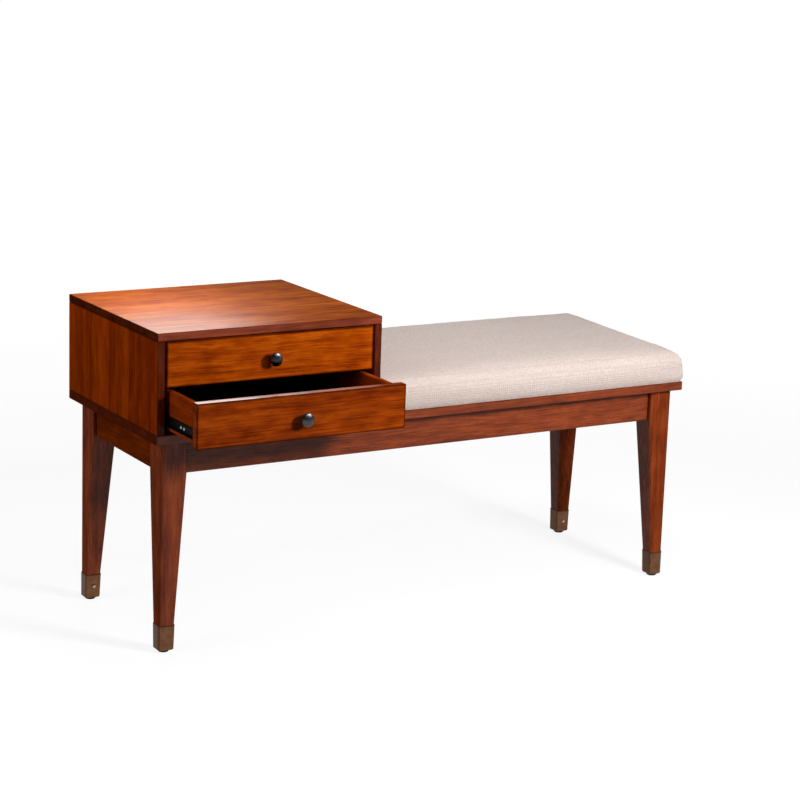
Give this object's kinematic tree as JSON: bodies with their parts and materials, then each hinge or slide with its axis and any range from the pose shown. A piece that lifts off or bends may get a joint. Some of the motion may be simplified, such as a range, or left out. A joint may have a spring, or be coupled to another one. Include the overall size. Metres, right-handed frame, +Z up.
{
  "type": "upholstered storage bench",
  "caption": "Bench with a padded fabric seat beside a low drawer case, on a platform with tapered square legs in metal ferrules; the drawers run on ball slides.",
  "frame": {"origin": "on the floor, under the middle of the bench as shown with its lower drawer partly open", "axes": "+X along the bench from the drawer case to the seat, +Y from front to back, +Z up"},
  "size_m": [1.1748, 0.5554, 0.6033],
  "materials": {
    "veneer": "satin lacquered red-brown veneer with straight grain",
    "drawer_veneer": "satin lacquered orange-brown veneer, grain along the drawer",
    "solid_wood": "satin lacquered dark red-brown solid wood",
    "drawer_wood": "matt stained red-brown wood",
    "plain_wood": "bare wood",
    "plywood": "bare plywood",
    "bronze": "dark antique bronze",
    "pewter": "dark satin pewter",
    "black_steel": "black coated pressed steel",
    "bright_steel": "bright zinc-plated steel",
    "black_nylon": "black moulded nylon",
    "linen": "plain oatmeal linen weave",
    "foam": "upholstery foam"
  },
  "bodies": {
    "bench": {"platform": "solid_wood", "apron_front": "solid_wood", "apron_back": "solid_wood", "apron_left": "solid_wood", "apron_right": "solid_wood", "leg_front_left": "solid_wood", "leg_front_right": "solid_wood", "leg_back_left": "solid_wood", "leg_back_right": "solid_wood", "ferrule_front_left": "bronze", "ferrule_front_right": "bronze", "ferrule_back_left": "bronze", "ferrule_back_right": "bronze", "glide_front_left": "black_nylon", "glide_front_right": "black_nylon", "glide_back_left": "black_nylon", "glide_back_right": "black_nylon", "corner_block_front_left": "plain_wood", "corner_block_front_right": "plain_wood", "corner_block_back_left": "plain_wood", "corner_block_back_right": "plain_wood", "case_top": "veneer", "case_side_left": "veneer", "case_side_right": "veneer", "case_back": "drawer_wood", "seat_board": "plywood", "case_rail_upper_left": "black_steel", "case_rail_upper_right": "black_steel", "case_rail_lower_left": "black_steel", "case_rail_lower_right": "black_steel", "seat_cover": "linen", "seat_foam": "foam"},
    "upper_drawer": {"upper_drawer_front": "drawer_veneer", "upper_drawer_back": "drawer_wood", "upper_drawer_side_left": "drawer_wood", "upper_drawer_side_right": "drawer_wood", "upper_drawer_bottom": "drawer_wood", "upper_drawer_knob": "pewter", "upper_drawer_rail_left": "black_steel", "upper_drawer_rail_right": "black_steel"},
    "lower_drawer": {"lower_drawer_front": "drawer_veneer", "lower_drawer_back": "drawer_wood", "lower_drawer_side_left": "drawer_wood", "lower_drawer_side_right": "drawer_wood", "lower_drawer_bottom": "drawer_wood", "lower_drawer_knob": "pewter", "lower_drawer_rail_left": "black_steel", "lower_drawer_rail_right": "black_steel"},
    "upper_cages": {"ball_cage_upper_left": "bright_steel", "ball_cage_upper_right": "bright_steel"},
    "lower_cages": {"ball_cage_lower_left": "bright_steel", "ball_cage_lower_right": "bright_steel"}
  },
  "joints": [
    {"name": "upper_drawer_slide", "type": "slide", "parent": "bench", "child": "upper_drawer", "axis": [0, -1, 0], "range_m": [0, 0.255]},
    {"name": "lower_drawer_slide", "type": "slide", "parent": "bench", "child": "lower_drawer", "axis": [0, -1, 0], "range_m": [-0.125, 0.13]},
    {"name": "upper_cage_slide", "type": "slide", "parent": "bench", "child": "upper_cages", "axis": [0, -1, 0], "range_m": [0, 0.1275]},
    {"name": "lower_cage_slide", "type": "slide", "parent": "bench", "child": "lower_cages", "axis": [0, -1, 0], "range_m": [-0.0625, 0.065]}
  ],
  "couplings": [
    {"joint": "upper_cage_slide", "follows": "upper_drawer_slide", "ratio": 0.5},
    {"joint": "lower_cage_slide", "follows": "lower_drawer_slide", "ratio": 0.5}
  ]
}
